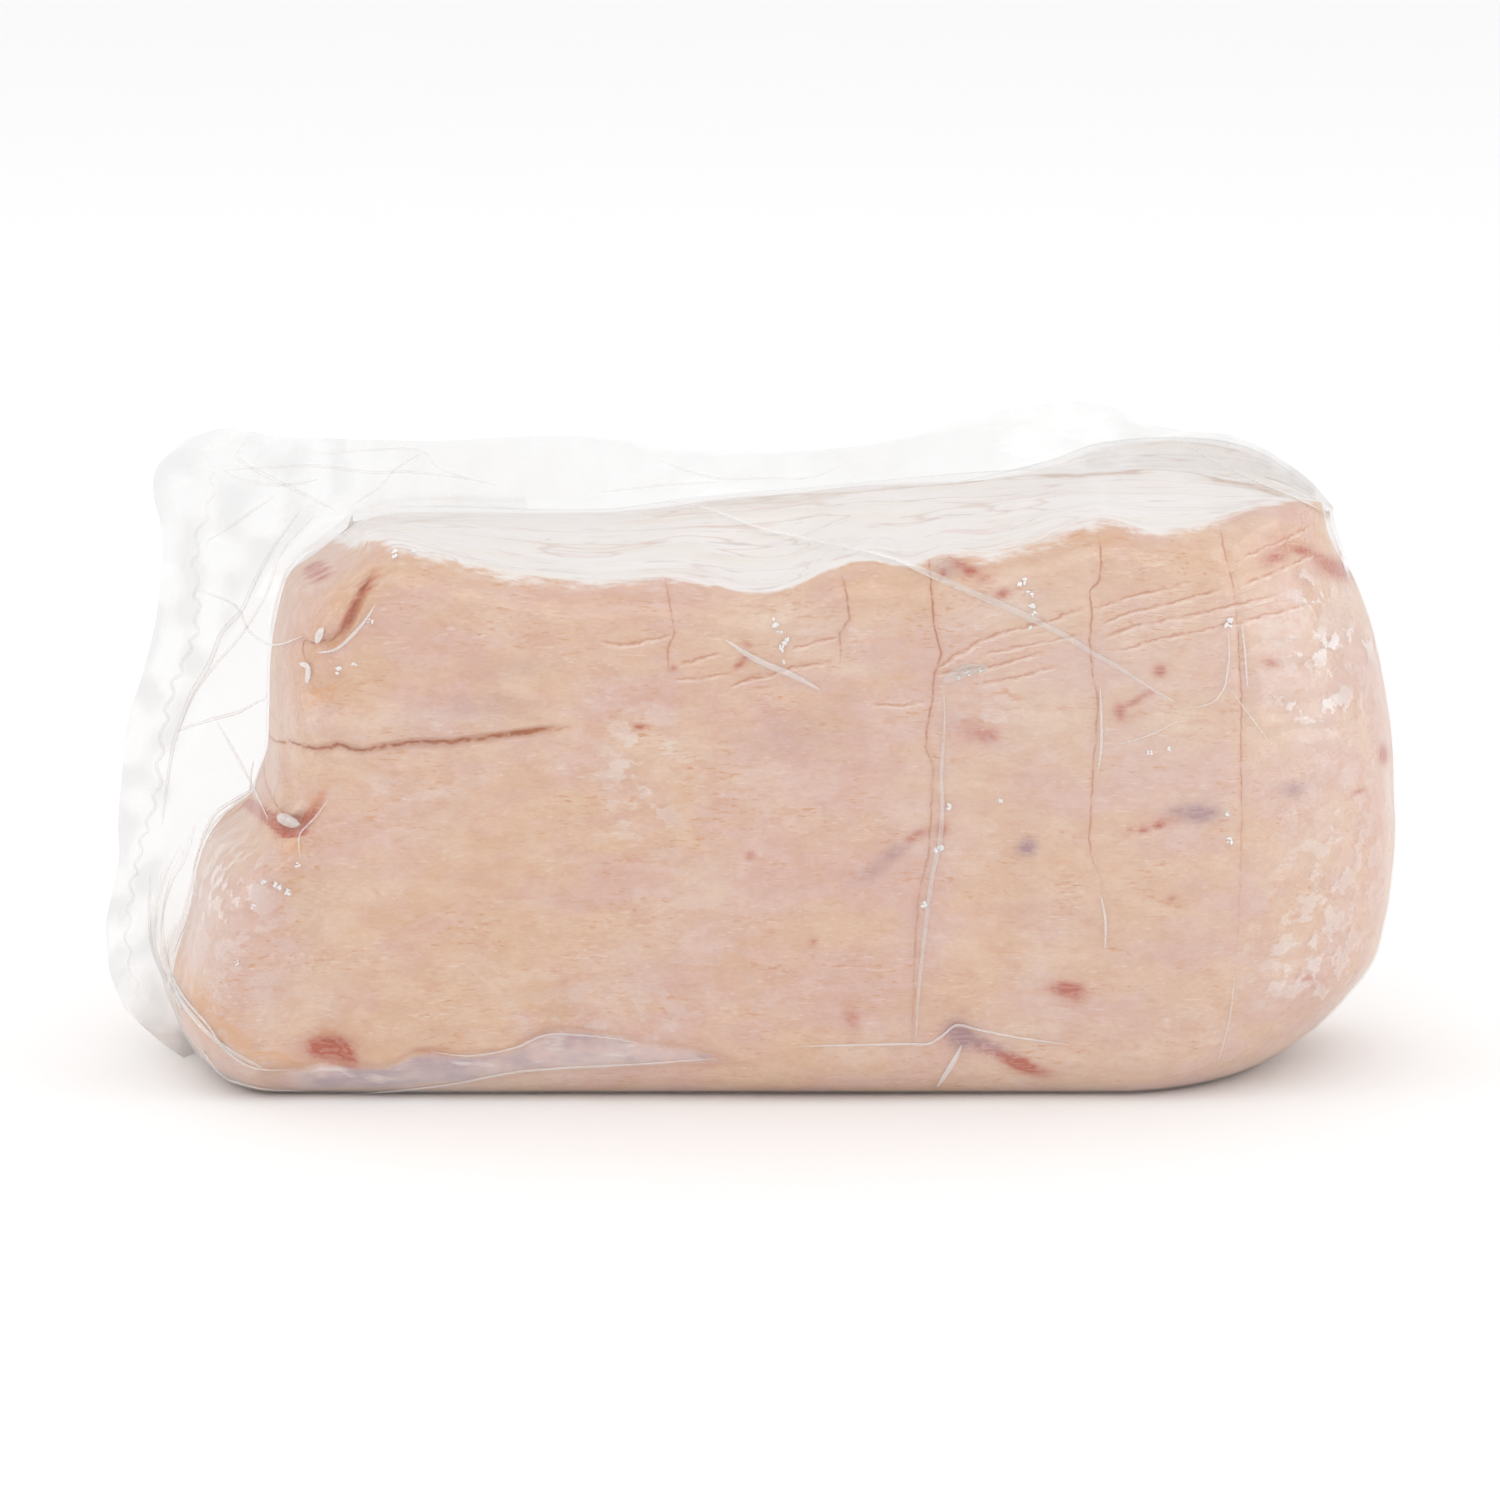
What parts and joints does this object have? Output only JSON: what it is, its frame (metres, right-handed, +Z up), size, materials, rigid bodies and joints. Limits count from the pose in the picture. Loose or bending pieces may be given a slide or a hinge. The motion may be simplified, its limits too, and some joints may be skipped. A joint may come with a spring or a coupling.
{
  "type": "pork roast",
  "caption": "Boneless pork roast with its rind on, shrunk tight into a clear vacuum bag, lying on its long side with a loose margin of film above it and at one end.",
  "frame": {"origin": "on the surface the roast rests on, under the middle of its bounding box", "axes": "+X along the roast from the end with the wide film margin to the round end, +Y away from the rind face, +Z up"},
  "size_m": [0.351, 0.1098, 0.1776],
  "materials": {
    "packed_pork": "pale rind seen through tight glossy film",
    "pork": "moist, satin",
    "clear_film": "clear, high gloss"
  },
  "bodies": {
    "root": {"vacuum_packed_roast": "packed_pork"}
  },
  "joints": []
}
